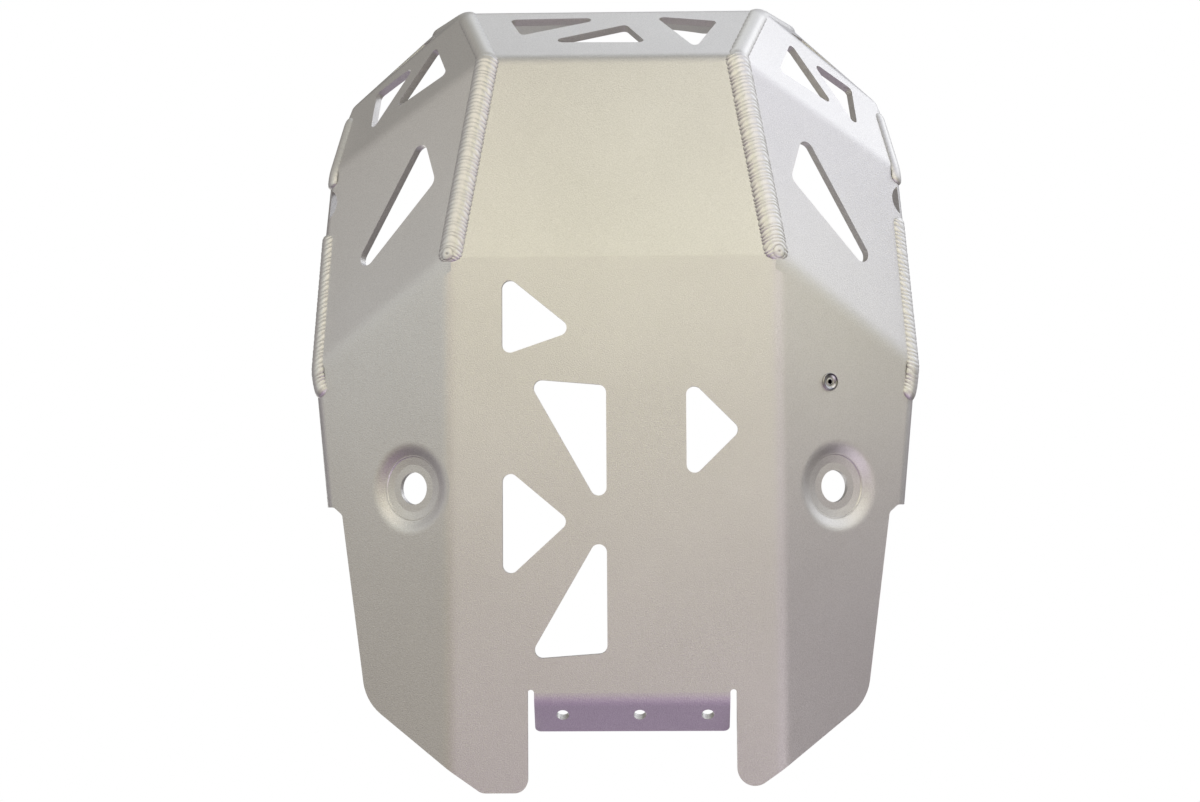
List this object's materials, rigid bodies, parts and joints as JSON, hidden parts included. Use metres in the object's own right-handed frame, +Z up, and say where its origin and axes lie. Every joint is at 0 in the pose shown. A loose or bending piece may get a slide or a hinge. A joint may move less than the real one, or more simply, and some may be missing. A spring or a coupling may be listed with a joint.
{
  "type": "motorcycle skid plate",
  "caption": "Folded and welded aluminium skid plate that guards a motorcycle's engine from below, with triangular vents, pressed mount seats and a rear tab.",
  "frame": {"origin": "centre of the bounding box in X and Y, on the flat belly's outer face", "axes": "+Z up into the pan, the nose points to -Y and the rear tab to +Y, +X is the side with the rivet"},
  "size_m": [0.33, 0.422, 0.096],
  "materials": {
    "sheet": "fine bead-blasted, matt",
    "weld": "rippled weld, blasted",
    "rivet": "satin"
  },
  "bodies": {
    "root": {"skid_plate": "sheet", "nose_weld_right": "weld", "nose_weld_left": "weld", "lip_weld_right": "weld", "lip_weld_left": "weld", "lower_flank_weld_right": "weld", "lower_flank_weld_left": "weld", "upper_flank_weld_right": "weld", "upper_flank_weld_left": "weld", "blind_rivet": "rivet"}
  },
  "joints": []
}
